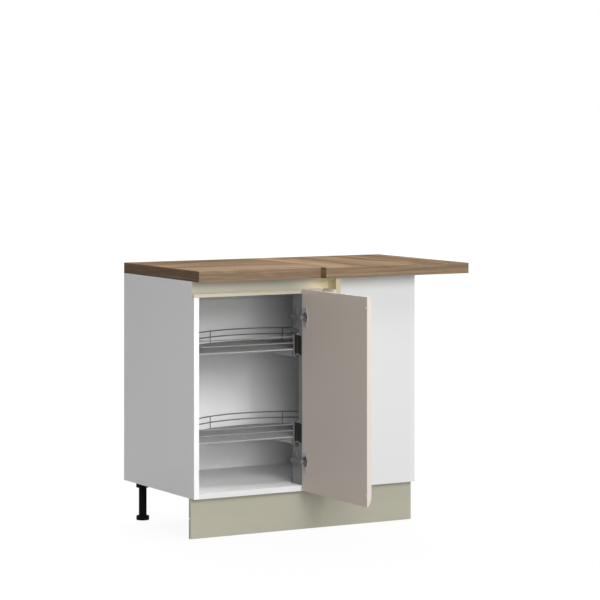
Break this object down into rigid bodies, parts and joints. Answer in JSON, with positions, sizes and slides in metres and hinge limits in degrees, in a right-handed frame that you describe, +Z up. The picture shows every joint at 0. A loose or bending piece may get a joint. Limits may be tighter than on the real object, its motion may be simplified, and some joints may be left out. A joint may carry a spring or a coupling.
{
  "type": "corner carousel cabinet",
  "caption": "Corner base cabinet with swing-out half-moon trays behind one hinged door, a blind side panel, levelling feet and a two-slab wood-look worktop.",
  "frame": {"origin": "centre of the bounding box at floor level, with the door open as drawn", "axes": "+X along the wall to the viewer's right, +Y from the cabinet's front to the wall, +Z up"},
  "size_m": [1, 0.9278, 0.86],
  "materials": {
    "melamine_white": "satin white melamine on chipboard",
    "back_board": "satin white faced hardboard",
    "beech_dowel": "bare beech",
    "walnut_laminate": "satin brown wood-grain laminate",
    "steel": "nickel plated steel",
    "champagne_aluminium": "satin anodised, champagne",
    "front_lacquer": "semi-gloss warm grey foil on fibreboard",
    "clear_buffer": "clear soft plastic",
    "tray_grey": "matte grey coated board",
    "chrome_wire": "bright chrome",
    "arm_grey": "light grey powder coat",
    "black_plastic": "satin black",
    "plinth_foil": "satin champagne foil"
  },
  "bodies": {
    "cabinet": {"side_left": "melamine_white", "side_right": "melamine_white", "bottom_panel": "melamine_white", "back_panel": "back_board", "top_rail_front": "melamine_white", "top_rail_rear": "melamine_white", "blind_panel": "melamine_white", "hinge_batten_lower": "melamine_white", "hinge_batten_upper": "melamine_white", "carcass_dowels": "beech_dowel", "worktop_left": "walnut_laminate", "worktop_right": "walnut_laminate", "worktop_joint_bolts": "steel", "worktop_screws": "steel", "handle_channel_front": "champagne_aluminium", "handle_channel_return": "champagne_aluminium", "handle_channel_cap": "champagne_aluminium", "filler_front": "front_lacquer", "filler_return": "front_lacquer", "filler_packer": "beech_dowel", "hinge_arm_lower": "steel", "hinge_arm_upper": "steel", "hinge_plate_lower": "steel", "hinge_plate_upper": "steel", "hinge_screws": "steel", "lower_pivot_bracket": "steel", "upper_pivot_bracket": "steel", "lower_pivot_pin": "steel", "upper_pivot_pin": "steel", "lower_pivot_cover": "black_plastic", "upper_pivot_cover": "black_plastic", "pivot_screws": "steel", "leg_sockets": "black_plastic", "socket_screws": "steel", "leg_tubes": "black_plastic", "plinth": "plinth_foil", "plinth_clips": "black_plastic"},
    "door": {"door": "front_lacquer", "hinge_cup_lower": "steel", "hinge_cup_upper": "steel", "hinge_pin_lower": "steel", "hinge_pin_upper": "steel", "door_buffers": "clear_buffer"},
    "lower_tray": {"lower_tray_floor": "tray_grey", "lower_tray_gallery": "chrome_wire", "lower_tray_arm": "arm_grey", "lower_tray_hub": "black_plastic"},
    "upper_tray": {"upper_tray_floor": "tray_grey", "upper_tray_gallery": "chrome_wire", "upper_tray_arm": "arm_grey", "upper_tray_hub": "black_plastic"},
    "foot_rear_left": {"foot_rear_left": "black_plastic"},
    "foot_rear_right": {"foot_rear_right": "black_plastic"},
    "foot_front_left": {"foot_front_left": "black_plastic"},
    "foot_front_right": {"foot_front_right": "black_plastic"},
    "foot_middle": {"foot_middle": "black_plastic"}
  },
  "joints": [
    {"name": "door_hinge", "type": "hinge", "parent": "cabinet", "child": "door", "pos_m": [-0.0962, -0.0621, 0.46], "axis": [0, 0, 1], "range_deg": [-90, 5]},
    {"name": "lower_tray_swing", "type": "hinge", "parent": "cabinet", "child": "lower_tray", "pos_m": [-0.1, -0.0181, 0.303], "axis": [0, 0, 1], "range_deg": [0, 90]},
    {"name": "upper_tray_swing", "type": "hinge", "parent": "cabinet", "child": "upper_tray", "pos_m": [-0.1, -0.0181, 0.5895], "axis": [0, 0, 1], "range_deg": [0, 90]},
    {"name": "rear_left_foot_height", "type": "slide", "parent": "cabinet", "child": "foot_rear_left", "axis": [0, 0, 1], "range_m": [-0.015, 0]},
    {"name": "rear_right_foot_height", "type": "slide", "parent": "cabinet", "child": "foot_rear_right", "axis": [0, 0, 1], "range_m": [-0.015, 0]},
    {"name": "front_left_foot_height", "type": "slide", "parent": "cabinet", "child": "foot_front_left", "axis": [0, 0, 1], "range_m": [-0.015, 0]},
    {"name": "front_right_foot_height", "type": "slide", "parent": "cabinet", "child": "foot_front_right", "axis": [0, 0, 1], "range_m": [-0.015, 0]},
    {"name": "middle_foot_height", "type": "slide", "parent": "cabinet", "child": "foot_middle", "axis": [0, 0, 1], "range_m": [-0.015, 0]}
  ]
}
